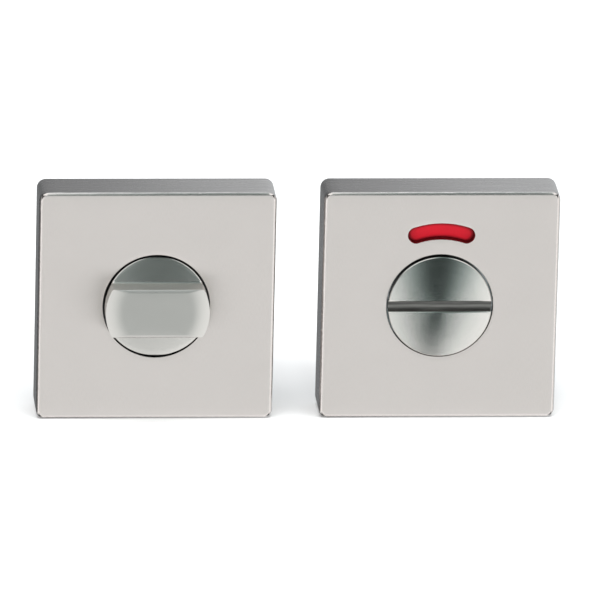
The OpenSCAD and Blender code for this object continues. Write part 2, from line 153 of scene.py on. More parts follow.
class HeadSizes(bpy.types.PropertyGroup):
    """Sizes of the thumb turn and the release"""
    bar_w: length("Bar width", "Width of the grip bar", 11.3)
    bar_edge_r: length("Bar edge radius", "Radius of the long edges of the bar", 0.8)
    bar_rim_w: length("Bar rim width", "How far the bar's ends start to fall away", 4.2)
    bar_rim_h: length("Bar rim fall", "How far the bar's ends fall away", 0.62)
    bar_foot_r: length("Bar foot radius", "Fillet between the bar and the disc", 0.5)
    turn_rise: length("Disc rise", "How far the disc stands out of the face", 0.7)
    disc_t: length("Disc thickness", "Thickness of the disc", 2.6)
    disc_rim_r: length("Disc rim radius", "Radius of the rim of the disc", 0.18)
    disc_fall: rotation("Disc slope", "How far both finger rests slope away from the bar", 7.5)
    release_t: length("Release thickness", "Thickness of the release head", 2.8)
    release_chamfer: length("Release chamfer", "Chamfer of the rim of the release", 0.14)
    release_crown: length("Release crown", "How far the release falls towards its rim", 0.06)
    slot_w: length("Slot width", "Width of the coin slot", 2.4)
    slot_depth: length("Slot depth", "Depth of the coin slot", 1.5)
    slot_edge: length("Slot edge", "Chamfer of the edges of the coin slot", 0.2)
    neck_r: length("Neck radius", "Radius of the neck of both heads", 7.0)
    neck_flat: length("Neck flat", "From the spindle axis to the flats of the neck", 6.0)
    neck_end: length("Neck chamfer", "Chamfer of the neck's end", 0.4)
    groove_r: length("Groove radius", "Radius at the bottom of the circlip groove", 6.5)
    boss_r: length("Boss radius", "Radius of the boss that drives the indicator plate", 9.0)
    boss_flat: length("Boss flat", "From the spindle axis to the flats of the boss", 7.5)
    socket_w: length("Socket width", "Side of the square spindle socket", 8.1)
    socket_reach: length("Socket reach", "How far the socket comes in front of the door", 7.0)


class FixingSizes(bpy.types.PropertyGroup):
    """Sizes of the bolts and the threaded pillars"""
    thread_r: length("Thread radius", "Outer radius of the thread", 2.0)
    thread_root_r: length("Thread root radius", "Radius at the root of the thread", 1.65)
    thread_pitch: length("Thread pitch", "Rise of the thread in one turn", 0.7)
    shank_r: length("Shank radius", "Radius between the head and the thread", 1.75)
    bolt_head_r: length("Head radius", "Radius of the countersunk head", 3.95)
    cross_w: length("Cross width", "Width of the cross recess", 0.9)
    lug_end: length("Lug end", "How far the locating lugs reach behind the door plane", 6.3)
    bore_depth: length("Bore depth", "Depth of the tapped bore", 26.0)
    spigot_r: length("Spigot radius", "Radius of the pillar's spigot", 3.0)
    boss_h: length("Boss height", "Height of the bosses above the door", 4.4)
    seat_h: length("Seat depth", "How deep the pillar's shoulder sits in the base plate", 1.0)


class FinishColours(bpy.types.PropertyGroup):
    """Colours of the finishes"""
    satin: colour("Satin steel", "Brushed stainless steel of the covers", (0.735, 0.694, 0.668))
    turned: colour("Turned steel", "Turned stainless steel of the heads", (0.635, 0.625, 0.597))
    plated: colour("Plated steel", "Bright zinc plate", (0.66, 0.68, 0.70))
    spring: colour("Spring steel", "Oiled spring steel", (0.16, 0.165, 0.17))
    zinc: colour("Cast zinc", "Die-cast zinc", (0.33, 0.34, 0.355))
    nylon: colour("Nylon", "Natural nylon", (0.78, 0.75, 0.66))
    red: colour("Occupied", "Printed red film", (0.80, 0.008, 0.026))
    white: colour("Vacant", "Printed white film", (0.80, 0.80, 0.78))
    side_bow: share("Side bow", "How far polishing rounds the long sides of a cover", 0.10)
    turned_spread: share("Turning spread", "How far turned rings spread light", 0.13)
    disc_spread: share("Disc spread", "Share of it on the disc of the thumb turn", 0.8)
    turned_dome: share("Turning dome", "How far polishing rounds a turned face", 0.14)


class StudioSettings(bpy.types.PropertyGroup):
    """Camera, floor and light"""
    azimuth: rotation("Azimuth", "Camera round the set, from the front", -5.0)
    elevation: rotation("Elevation", "Camera above the horizon", 18.0)
    roll: rotation("Roll", "Camera round its own line of sight", 1.4)
    distance: length("Distance", "From the camera to the point that it looks at", 2400.0)
    lens: FloatProperty(name="Lens", description="Focal length in millimetres", default=644.8)
    look_at: FloatVectorProperty(name="Look at", description="Point in the middle of the picture",
                                 default=(0.03213, -0.011, 0.00141), size=3, unit="LENGTH")
    floor: share("Floor", "How pale the floor is", 0.93)
    overhead: FloatProperty(name="Overhead light", description="Power of the overhead light",
                            default=9.0, min=0.0, unit="POWER")


# Shader sums

class Wire:
    """A socket that stands in a Python sum. Each operator adds one Math node, or one Vector Math
    node where either side is a vector."""

    def __init__(self, tree, socket):
        self.tree = tree
        self.socket = socket
        self.is_vector = socket.type == "VECTOR"

    def sum(self, operation, first, second):
        """One Math or Vector Math node that joins two values."""
        vector = any(isinstance(v, Wire) and v.is_vector for v in (first, second))
        kind = "ShaderNodeVectorMath" if vector else "ShaderNodeMath"
        values = [v if isinstance(v, Wire) or not vector else (v,) * 3 for v in (first, second)]
        return self.tree.node(kind, {"operation": operation}, dict(enumerate(values)))

    def __add__(self, other):
        return self.sum("ADD", self, other)

    def __sub__(self, other):
        return self.sum("SUBTRACT", self, other)

    def __rsub__(self, other):
        return self.sum("SUBTRACT", other, self)

    def __mul__(self, other):
        return self.sum("MULTIPLY", self, other)

    def __truediv__(self, other):
        return self.sum("DIVIDE", self, other)

    def __abs__(self):
        return self.tree.maths("ABSOLUTE", self)


class Tree:
    """Node tree of a material or a world, with one method that adds any node."""

    def __init__(self, nodes_of):
        nodes_of.use_nodes = True
        self.tree = nodes_of.node_tree
        self.tree.nodes.clear()
        self.kind = "World" if isinstance(nodes_of, bpy.types.World) else "Material"

    def node(self, kind, settings=None, sockets=None, output=0):
        """Adds a node, sets its settings, then fills its sockets with numbers or links."""
        made = self.tree.nodes.new(kind)
        for name, value in (settings or {}).items():
            setattr(made, name, value)
        for name, value in (sockets or {}).items():
            if isinstance(value, Wire):
                self.tree.links.new(value.socket, made.inputs[name])
            else:
                made.inputs[name].default_value = value
        return Wire(self, made.outputs[output])

    def ends_in(self, shader):
        """Links a shader to the tree's output."""
        end = self.tree.nodes.new(f"ShaderNodeOutput{self.kind}")
        self.tree.links.new(shader.socket, end.inputs["Surface"])

    def place(self):
        """Position on the piece."""
        return self.node("ShaderNodeTexCoord", output="Object")

    def normal(self):
        """Direction that the surface faces, in the scene."""
        return self.node("ShaderNodeNewGeometry", output="Normal")

    def parts(self, vector):
        """The three numbers of a vector."""
        made = self.node("ShaderNodeSeparateXYZ", sockets={0: vector})
        outputs = made.socket.node.outputs
        return [Wire(self, outputs[axis]) for axis in "XYZ"]

    def vector(self, x, y, z):
        """A vector from three numbers."""
        return self.node("ShaderNodeCombineXYZ", sockets={0: x, 1: y, 2: z})

    def maths(self, operation, *values):
        """A Math node that has no Python operator."""
        return self.node("ShaderNodeMath", {"operation": operation}, dict(enumerate(values)))

    def unit(self, vector):
        """A vector with a length of one."""
        return self.node("ShaderNodeVectorMath", {"operation": "NORMALIZE"}, {0: vector})

    def cross(self, first, second):
        """Vector square to two others."""
        return self.node("ShaderNodeVectorMath", {"operation": "CROSS_PRODUCT"},
                         {0: first, 1: second})

    def to_scene(self, vector):
        """A direction on the piece, turned with the piece."""
        return self.node("ShaderNodeVectorTransform",
                         {"vector_type": "VECTOR", "convert_from": "OBJECT", "convert_to": "WORLD"},
                         {0: vector})

    def ramp(self, value, low, high):
        """0 where the value is at low, 1 where it is at high, and a smooth step between."""
        return self.node("ShaderNodeMapRange", {"interpolation_type": "SMOOTHSTEP"},
                         {"Value": value, "From Min": low, "From Max": high,
                          "To Min": 0.0, "To Max": 1.0})

    def noise(self, vector, scale, detail=2.0, roughness=0.5):
        """Soft noise round 0, mostly between -1 and 1."""
        made = self.node("ShaderNodeTexNoise", {"noise_dimensions": "3D"},
                         {"Vector": vector, "Scale": scale, "Detail": detail,
                          "Roughness": roughness})
        return (made - 0.5) * 4.0

    def metal(self, base, roughness, normal, metallic=1.0, shine=0.5, stretch=0.0):
        """Principled surface, steel unless metallic says otherwise."""
        return self.node("ShaderNodeBsdfPrincipled", {}, {
            "Base Color": base, "Roughness": roughness, "Normal": normal, "Metallic": metallic,
            "Specular IOR Level": shine, "Anisotropic": stretch})


# Meshes

def put(u, v, d, at):
    """Points of one half in the scene: u right of its spindle, v up, d out of the door."""
    u, v, d = np.broadcast_arrays(u, v, d)
    return np.stack([at + u, -d, v], axis=-1)


def quads_of(rows, columns, wrap):
    """Quads between neighbouring points of a grid numbered row by row."""
    row, column = np.meshgrid(np.arange(rows - 1), np.arange(columns if wrap else columns - 1),
                              indexing="ij")
    here = row * columns + column
    beside = row * columns + (column + 1) % columns
    return np.stack([here, beside, beside + columns, here + columns], axis=-1).reshape(-1, 4)


def finish_mesh(mesh):
    """Merges points that meet, drops folded quads, turns faces outwards and shades them smooth
    up to the sharp angle."""
    work = bmesh.new()
    work.from_mesh(mesh)
    bmesh.ops.remove_doubles(work, verts=work.verts, dist=MERGE)
    bmesh.ops.dissolve_degenerate(work, edges=work.edges, dist=MERGE / 2)
    bmesh.ops.recalc_face_normals(work, faces=work.faces)
    work.to_mesh(mesh)
    work.free()
    mesh.shade_smooth()
    mesh.set_sharp_from_angle(angle=SHARP)


def add_object(name, data):
    """New object in the scene."""
    made = bpy.data.objects.new(name, data)
    bpy.context.scene.collection.objects.link(made)
    return made


def make_piece(name, sheets, node):
    """Makes an object of grids of points (rows, columns, xyz), each with a flag that says
    whether its last column joins its first. It stands for a CAD node."""
    quads, start = [], 0
    for points, wrap in sheets:
        rows, columns = points.shape[:2]
        quads.append(quads_of(rows, columns, wrap) + start)
        start += rows * columns
    mesh = bpy.data.meshes.new(name)
    mesh.from_pydata(np.concatenate([points.reshape(-1, 3) for points, _ in sheets]),
                     [], np.concatenate(quads))
    finish_mesh(mesh)
    dress(add_object(name, mesh), node)


def coat(piece, node):
    """Gives a piece the finish of a CAD node."""
    piece.data.materials.clear()
    piece.data.materials.append(finish_of(slot_of(node)))


def dress(piece, node):
    """Puts a piece in the place of a CAD node, with its body, slot and finish."""
    coat(piece, node)
    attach(piece, body_of(node))
    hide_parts(node)


def soften(node, radius):
    """Makes a copy of a CAD node with its flat faces joined and its sharp edges rounded."""
    flat, smooth, rounded = math.radians(0.5), math.radians(35), math.radians(40)
    mesh = frame["nodes"][node].data.copy()
    work = bmesh.new()
    work.from_mesh(mesh)
    bmesh.ops.remove_doubles(work, verts=work.verts, dist=MERGE / 2)
    bmesh.ops.dissolve_limit(work, angle_limit=flat, verts=work.verts, edges=work.edges)
    work.to_mesh(mesh)
    work.free()
    mesh.shade_smooth()
    mesh.set_sharp_from_angle(angle=smooth)
    piece = add_object(f"{node}_rounded", mesh)
    dress(piece, node)
    bevel = piece.modifiers.new("rounded edges", "BEVEL")
    bevel.width = radius
    bevel.segments = 2
    bevel.limit_method = "ANGLE"
    bevel.angle_limit = rounded
    weighted = piece.modifiers.new("even shading", "WEIGHTED_NORMAL")
    weighted.keep_sharp = True


def ramped(first, last, steps, bend=lambda t: t):
    """Rows between two rows, both included, spaced by bend(t)."""
    t = bend(np.linspace(0, 1, steps)).reshape(-1, *[1] * np.ndim(first))
    return first + (last - first) * t


def arc_drop(inset, radius):
    """How far a rounded edge has dropped at a distance inside its outer side."""
    left = np.clip(radius - inset, 0, radius)
    return radius - np.sqrt(radius ** 2 - left ** 2)


def ease_out(t):
    """Steps that get shorter towards the end."""
    return np.sin(t * QUARTER)


def ease_in(t):
    """Steps that get longer towards the end."""
    return 1 - np.cos(t * QUARTER)


# Covers

def square_ring(inset, sizes):
    """Outline of a cover seen from the front, moved inwards by inset along its normals. It runs
    round its four corners as arcs and its four sides as rows of points."""
    side_steps, corner_steps, notch_end = 25, 9, 0.3 * MM
    half = ROSE_W / 2
    radius = sizes.corner_r
    side = half - radius
    window_edge = (half - sizes.edge_r) * math.tan(sizes.window_half_angle)
    notch = sizes.notch_w / 2
    stops = [window_edge, notch, notch + notch_end]
    along = np.unique(np.concatenate([np.linspace(-side, side, side_steps), stops,
                                      [-stop for stop in stops]]))
    turn = np.linspace(0, QUARTER, corner_steps)[1:-1]
    u = np.concatenate([np.full(along.size, half), side + radius * np.cos(turn)])
    v = np.concatenate([along, side + radius * np.sin(turn)])
    nu = np.concatenate([np.ones(along.size), np.cos(turn)])
    nv = np.concatenate([np.zeros(along.size), np.sin(turn)])
    quarter = np.stack([u - nu * inset, v - nv * inset])
    rings = []
    for step in range(4):
        c, s = round(math.cos(step * QUARTER)), round(math.sin(step * QUARTER))
        rings.append(np.array([[c, -s], [s, c]]) @ quarter)
    return np.concatenate(rings, axis=1)


def slot_cap(radius, half_width):
    """Round end of the window: distance from the spindle and angle past the window's end."""
    psi = np.linspace(math.pi, 0, 13)
    out = radius + half_width * np.cos(psi)
    across = half_width * np.sin(psi)
    return np.hypot(out, across), np.arctan2(across, out)


def cover_sheets(at, sizes, with_window):
    """A pressed cover. Its face is a stack of rings: the round hole, the circles that touch the
    window and the square edge, with straight rows between them. The edge, the side, the foot and
    the inner wall are the square ring moved in and down along a profile."""
    same, notch_spare = 1e-7, 0.1 * MM
    half = ROSE_W / 2
    inner_top = ROSE_T - sizes.wall
    edge_d = ROSE_T - sizes.crown
    top_ring = square_ring(sizes.edge_r, sizes)
    angle = np.unwrap(np.arctan2(top_ring[1], top_ring[0]))
    sheets = []

    def crown_depth(u, v):
        reach = np.maximum(np.abs(u), np.abs(v)) - (half - sizes.edge_r - sizes.crown_w)
        return ROSE_T - sizes.crown * np.clip(reach / sizes.crown_w, 0, 1) ** 2

    def ring(radius, theta):
        return np.stack([radius * np.cos(theta), radius * np.sin(theta)])

    def face(outer, hole_r, slot_half, depth):
        def add(u, v, wrap=True):
            sheets.append((put(u, v, depth(u, v), at), wrap))

        def fill(first, last, steps, *bend):
            add(*np.moveaxis(ramped(first, last, steps, *bend), 1, 0))

        start = QUARTER + sizes.window_half_angle
        order = np.argsort((angle - start + same) % TURN)
        theta = start + (angle[order] - start + same) % TURN - same
        low, high = ring(sizes.window_r - slot_half, theta), ring(sizes.window_r + slot_half, theta)
        fill(ring(hole_r, theta), low, 4)
        fill(high, outer[:, order], 9, ease_out)
        if not with_window:
            fill(low, high, 4)
            return
        radii, past = slot_cap(sizes.window_r, slot_half)
        band_end = start + TURN - 2 * sizes.window_half_angle
        share_of = (theta[theta < band_end + 10 * same] - start) / (band_end - start)
        bend = (start + past)[:, None] + share_of * (band_end - start - 2 * past)[:, None]
        add(*(radii[:, None] * ring(1.0, bend)), wrap=False)

    def window_loop(slot_half):
        radii, past = slot_cap(sizes.window_r, slot_half)
        left, right = QUARTER + sizes.window_half_angle, QUARTER - sizes.window_half_angle
        turned = angle % TURN
        inside = np.sort(turned[(turned > right + 10 * same) & (turned < left - 10 * same)])
        theta = np.concatenate([right - past, inside, (left + past)[::-1], inside[::-1]])
        radius = np.concatenate([radii, np.full(inside.size, radii[-1]), radii[::-1],
                                 np.full(inside.size, radii[0])])
        return radius * np.cos(theta), radius * np.sin(theta)

    def lip(edge_of, draft):
        bend = np.linspace(0, QUARTER, 5)
        insets = np.concatenate([sizes.lip_r * (1 - np.sin(bend)), [-draft / 2, -draft]])
        depths = np.concatenate([ROSE_T - sizes.lip_r * (1 - np.cos(bend)),
                                 [ROSE_T - sizes.wall / 2, inner_top]])
        u, v = np.moveaxis(np.array([edge_of(inset) for inset in insets]), 1, 0)
        sheets.append((put(u, v, depths[:, None], at), True))

    face(top_ring, sizes.hole_r + sizes.lip_r, sizes.window_w / 2 + sizes.lip_r, crown_depth)
    lip(lambda inset: ring(sizes.hole_r + inset, np.sort(angle % TURN)), 0.0)
    if with_window:
        lip(lambda inset: window_loop(sizes.window_w / 2 + inset), sizes.window_draft)

    bend = np.linspace(0, QUARTER, 9)
    foot = np.linspace(0, QUARTER, 4)
    side = np.linspace(edge_d - sizes.edge_r, sizes.foot_r, 7)[1:-1]
    inner_side = np.linspace(sizes.foot_r, inner_top, 5)[1:]
    insets = np.concatenate([sizes.edge_r * (1 - np.sin(bend)), side * 0,
                             sizes.foot_r * (1 - np.cos(foot)),
                             sizes.wall - sizes.foot_r * (1 - np.sin(foot)),
                             inner_side * 0 + sizes.wall])
    depths = np.concatenate([edge_d - sizes.edge_r * (1 - np.cos(bend)), side,
                             sizes.foot_r * (1 - np.sin(foot)), sizes.foot_r * (1 - np.cos(foot)),
                             inner_side])
    u, v = np.moveaxis(np.array([square_ring(inset, sizes) for inset in insets]), 1, 0)
    in_notch = (np.abs(u) < sizes.notch_w / 2 + notch_spare) & (v < -half + 2 * sizes.wall)
    near_face = np.clip((depths - sizes.foot_r) / (edge_d - sizes.edge_r - sizes.foot_r), 0, 1)
    near_face[insets > sizes.edge_r] = 0
    lift = crown_depth(*top_ring) - edge_d
    d = np.where(in_notch, np.maximum(depths, sizes.notch_h)[:, None],
                 depths[:, None] + near_face[:, None] * lift[None])
    sheets.append((put(u, v, d, at), True))
    face(square_ring(sizes.wall, sizes), sizes.hole_r, sizes.window_w / 2 - sizes.window_draft,
         lambda u, v: inner_top)
    return sheets


# Turned heads

SOCKET_CORNERS = [QUARTER / 2 + step * QUARTER for step in range(4)]


def ray_angles(corners):
    """Angles of the rays round a spindle: an even fan, closer together at the given corners."""
    even_step, near_reach, near_step = 1.5, 4.0, 0.4
    even = np.arange(0, TURN, math.radians(even_step))
    near = np.radians(np.arange(-near_reach, near_reach + near_step / 2, near_step))
    close = [corner + near for corner in corners]
    angles = np.concatenate([even, *close]) % TURN
    return np.unique(np.round(angles, 7))


def steepness(angle):
    """Sine of an angle without its sign, kept off zero so that a distance can be divided by it."""
    return np.maximum(np.abs(np.sin(angle)), 1e-6)


def flats_at(angle, distance):
    """Distance from the spindle to a pair of flats left and right of it, along a ray."""
    return distance / np.maximum(np.abs(np.cos(angle)), 1e-9)


def side_of_square(angle, half):
    """Distance from the spindle to the side of a square, along a ray."""
    return np.minimum(flats_at(angle, half), flats_at(QUARTER - angle, half))


def soft_least(first, second, radius):
    """The smaller of two values, with a rounded corner where they cross."""
    blur = radius / 2
    gap = np.abs(first - second) / blur
    return np.minimum(first, second) - blur * np.log1p(np.exp(-gap))


def neck_rows(phi, under, upper, step, lower, clip, sizes):
    """Rows down a head's neck: its upper part, a step, its lower part with the groove of the
    circlip and a chamfer, then up into the spindle socket. Upper and lower are distances from
    the spindle along every ray, under and step are depths."""
    clip_top, clip_under = depth_span(clip)
    groove = np.minimum(lower, sizes.groove_r)
    square = side_of_square(phi, sizes.socket_w / 2)
    mouth = 0.25 * MM
    rows = ((under, upper), (step, upper), (step, lower), (clip_top, lower), (clip_top, groove),
            (clip_under, groove), (clip_under, lower), (NECK_END + sizes.neck_end, lower),
            (NECK_END, lower - sizes.neck_end), (NECK_END, square + mouth),
            (NECK_END + mouth, square), (sizes.socket_reach, square),
            (sizes.socket_reach, square * 0))
    return [(outline, np.full_like(phi, depth)) for depth, outline in rows]


def rows_to_sheet(phi, rows, at):
    """Grid of points from rows of (distance from the spindle, depth)."""
    radius = np.array([row[0] for row in rows])
    depth = np.array([row[1] for row in rows])
    return put(radius * np.cos(phi), radius * np.sin(phi), depth, at), True


def thumb_turn_sheet(sizes):
    """The thumb turn, one ray from the spindle at each angle. The ray crosses the top of the bar,
    leaves it over the long edge or the round end, drops down its wall, crosses the disc with a
    fillet at the foot, goes over the rim and comes back down the neck."""
    corner_blend, least_band = 0.5 * MM, 0.1 * MM
    half = sizes.bar_w / 2
    corner = math.asin(half / HEAD_R)
    corners = [corner, math.pi - corner, math.pi + corner, TURN - corner]
    phi = ray_angles(corners + SOCKET_CORNERS)
    sine = steepness(phi)
    floor = ROSE_T + sizes.turn_rise
    under = floor - sizes.disc_t
    rim_start = HEAD_R - sizes.disc_rim_r
    leave = soft_least(np.full_like(phi, HEAD_R), half / sine, corner_blend)

    def bar_height(radius):
        side = half - radius * sine
        end = np.clip(1 - (HEAD_R - radius) / sizes.bar_rim_w, 0, 1)
        return BAR_TOP - np.maximum(arc_drop(side, sizes.bar_edge_r), sizes.bar_rim_h * end ** 2)

    def disc_height(radius):
        fall = np.clip(radius * sine - half, 0, None) * math.tan(sizes.disc_fall)
        rim = floor - fall - arc_drop(HEAD_R - radius, sizes.disc_rim_r)
        away = np.clip((radius - leave) * sine, 0, sizes.bar_foot_r)
        fillet = sizes.bar_foot_r - np.sqrt(sizes.bar_foot_r ** 2
                                            - (sizes.bar_foot_r - away) ** 2)
        fade = np.clip((HEAD_R - radius) / sizes.disc_rim_r, 0, 1)
        return rim + fillet * fade * fade * (3 - 2 * fade)

    flat_end = np.minimum(HEAD_R - sizes.bar_rim_w, (half - sizes.bar_edge_r) / sine)
    flat_end = np.minimum(flat_end, leave - least_band)
    top = [*ramped(flat_end * 0, flat_end, 4), *ramped(flat_end, leave, 12, ease_out)[1:]]
    rows = [(radius, bar_height(radius)) for radius in top]
    wall_top, wall_foot = rows[-1][1], disc_height(leave)
    rows += [(leave, depth) for depth in ramped(wall_top, wall_foot, 7)[1:]]
    foot_end = np.minimum(leave + sizes.bar_foot_r / sine, HEAD_R)
    flat_to = np.maximum(foot_end, rim_start)
    disc = [*ramped(leave, foot_end, 7, ease_in)[1:], *ramped(foot_end, flat_to, 5)[1:],
            *ramped(flat_to, np.full_like(phi, HEAD_R), 9, ease_out)[1:]]
    rows += [(radius, disc_height(radius)) for radius in disc]
    rows += [(np.full_like(phi, HEAD_R), depth)
             for depth in ramped(rows[-1][1], np.full_like(phi, under), 3)[1:]]
    round_neck = np.full_like(phi, sizes.neck_r)
    flats = np.minimum(round_neck, flats_at(phi, sizes.neck_flat))
    rows += neck_rows(phi, under, round_neck, depth_span("turn_stop_plate")[0], flats,
                      "turn_circlip", sizes)
    return rows_to_sheet(phi, rows, INSIDE_AT)


def release_sheet(sizes):
    """The release, one ray from the spindle at each angle. The ray starts on the floor of the
    coin slot, climbs its wall and its small edge, crosses the face, goes over the chamfer of the
    rim and comes back down to the neck. Rays along the slot leave through its open ends, and two
    rays a split apart stand on both sides of each corner of an end."""
    half = sizes.slot_w / 2
    floor = RELEASE_FACE - sizes.slot_depth
    under = RELEASE_FACE - sizes.release_t
    mouth = math.asin(half / HEAD_R)
    split = 2e-5
    ends = [mouth, math.pi - mouth, math.pi + mouth, TURN - mouth]
    phi = ray_angles(SOCKET_CORNERS)
    phi = phi[np.min(np.abs(phi[:, None] - np.array(ends)), axis=1) > 4 * split]
    phi = np.sort(np.concatenate([phi, *[[end - split, end + split] for end in ends]]))
    sine = steepness(phi)
    climb = np.minimum(half / sine, HEAD_R)
    in_slot = half / sine > HEAD_R

    def face_height(radius):
        edge = np.clip(sizes.slot_edge - (radius * sine - half), 0, sizes.slot_edge)
        rim = np.clip(radius - (HEAD_R - sizes.release_chamfer), 0, None)
        crown = sizes.release_crown * (radius / HEAD_R) ** 2
        height = RELEASE_FACE - crown - np.maximum(edge, rim)
        return np.where(in_slot, floor, height)

    rim_at = np.full_like(phi, HEAD_R)
    edge_end = np.minimum(climb + sizes.slot_edge / sine, HEAD_R)
    flat_to = np.maximum(edge_end, HEAD_R - sizes.release_chamfer)
    crossed = [*ramped(climb, edge_end, 2)[1:], *ramped(edge_end, flat_to, 8)[1:],
               *ramped(flat_to, rim_at, 3)[1:]]
    rows = [(radius, np.full_like(phi, floor)) for radius in ramped(climb * 0, climb, 5)]
    rows += [(climb, face_height(climb))]
    rows += [(radius, face_height(radius)) for radius in crossed]
    rows += [(rim_at, np.minimum(rows[-1][1], floor)), (rim_at, np.full_like(phi, under))]
    boss = np.minimum(sizes.boss_r, flats_at(phi, sizes.boss_flat))
    round_neck = np.full_like(phi, sizes.neck_r)
    rows += neck_rows(phi, under, boss, depth_span("indicator_plate")[1], round_neck,
                      "release_circlip", sizes)
    return rows_to_sheet(phi, rows, OUTSIDE_AT)


# Fixings

def thread(phi, depth, sizes, start, stop):
    """How far a thread stands up between its root, 0, and its crest, 1: a trapezoid wave in the
    angle and the depth together, which fades at both ends."""
    flank_slope, root_share = 2.7, 0.12
    wave = (depth[:, None] / sizes.thread_pitch - phi[None] / TURN) % 1.0
    crest = np.clip((0.5 - np.abs(wave - 0.5)) * flank_slope - root_share, 0, 1)
    fade = (np.clip((depth - stop) / sizes.thread_pitch, 0, 1)
            * np.clip((start - depth) / sizes.thread_pitch, 0, 1))
    return crest * fade[:, None]


def threaded_rows(phi, first, last, faded, sizes):
    """Rows of a threaded stretch from the first depth to the last. Faded are the upper and the
    lower depth at which the thread has run out."""
    depth = np.arange(first, last, math.copysign(sizes.thread_pitch / 8, last - first))
    height = sizes.thread_r - sizes.thread_root_r
    outline = sizes.thread_root_r + height * thread(phi, depth, sizes, *faded)
    return list(zip(outline, depth))


def bolt_sheet(sizes, side):
    """A countersunk bolt: the recess is a cross whose outline is a distance along each ray, the
    head is a cone, and the shaft is a circle that the thread stands up from."""
    floor_share, depth_share, tip_share = 0.8, 0.7, 0.95
    phi = np.linspace(0, TURN, 48, endpoint=False)
    ones = np.ones_like(phi)
    arm = np.abs((phi + QUARTER / 2) % QUARTER - QUARTER / 2)
    arm_len = sizes.bolt_head_r / 2
    cross = np.minimum(arm_len / np.cos(arm), sizes.cross_w / 2 / steepness(arm))
    head_h = sizes.bolt_head_r - sizes.shank_r
    floor = BOLT_TOP - depth_share * head_h
    rows = [(ones * 0, floor), (cross * floor_share, floor), (cross, BOLT_TOP),
            (ones * sizes.bolt_head_r, BOLT_TOP), (ones * sizes.shank_r, BOLT_TOP - head_h),
            (ones * sizes.shank_r, -sizes.lug_end)]
    rows += threaded_rows(phi, -sizes.lug_end, BOLT_TIP, (-sizes.lug_end, BOLT_TIP), sizes)
    rows += [(ones * sizes.thread_root_r * tip_share, BOLT_TIP), (ones * 0, BOLT_TIP)]
    rows = [(radius, ones * d) for radius, d in rows]
    return rows_to_sheet(phi, rows, INSIDE_AT + side * FIXING_PITCH / 2)


def pillar_sheet(sizes, side):
    """A pillar: its staked top, its spigot, its shoulder and its shaft are circles down to the
    mouth, and its bore climbs back up with a thread cut into it and a drilled cone at the end."""
    phi = np.linspace(0, TURN, 72, endpoint=False)
    ones = np.ones_like(phi)
    staked, shoulder, foot, mouth = 0.3 * MM, 0.2 * MM, 0.5 * MM, 0.4 * MM
    mouth_wide, mouth_close = 0.3 * MM, 0.1 * MM
    runout, cone = 3 * MM, 1 * MM
    seat, spigot, root = sizes.seat_h, sizes.spigot_r, sizes.thread_root_r
    bore_end = PILLAR_END + sizes.bore_depth
    thread_end = bore_end - runout
    rows = [(0, sizes.boss_h + staked), (spigot + staked, sizes.boss_h + staked),
            (spigot + 2 * staked, sizes.boss_h), (spigot, sizes.boss_h), (spigot, seat),
            (PILLAR_R - shoulder, seat), (PILLAR_R, seat - shoulder),
            (PILLAR_R, PILLAR_END + foot), (PILLAR_R - foot, PILLAR_END),
            (sizes.thread_r + mouth_wide, PILLAR_END),
            (sizes.thread_r - mouth_close, PILLAR_END + mouth)]
    rows += threaded_rows(phi, PILLAR_END + mouth, thread_end, (thread_end, PILLAR_END), sizes)
    rows += [(root, thread_end), (root, bore_end - cone), (0, bore_end)]
    rows = [(ones * radius, ones * d) for radius, d in rows]
    return rows_to_sheet(phi, rows, OUTSIDE_AT + side * FIXING_PITCH / 2)


# Finishes

def new_material(name):
    """Empty material and its tree."""
    made = bpy.data.materials.new(name)
    return made, Tree(made)


def from_spindle(tree):
    """Place on the piece, whether it is in the release's half, and how far it lies to the right
    of that half's spindle."""
    x, y, z = tree.parts(tree.place())
    on_release = tree.maths("GREATER_THAN", x, PITCH / 2)
    return x, y, z, on_release, x - on_release * PITCH


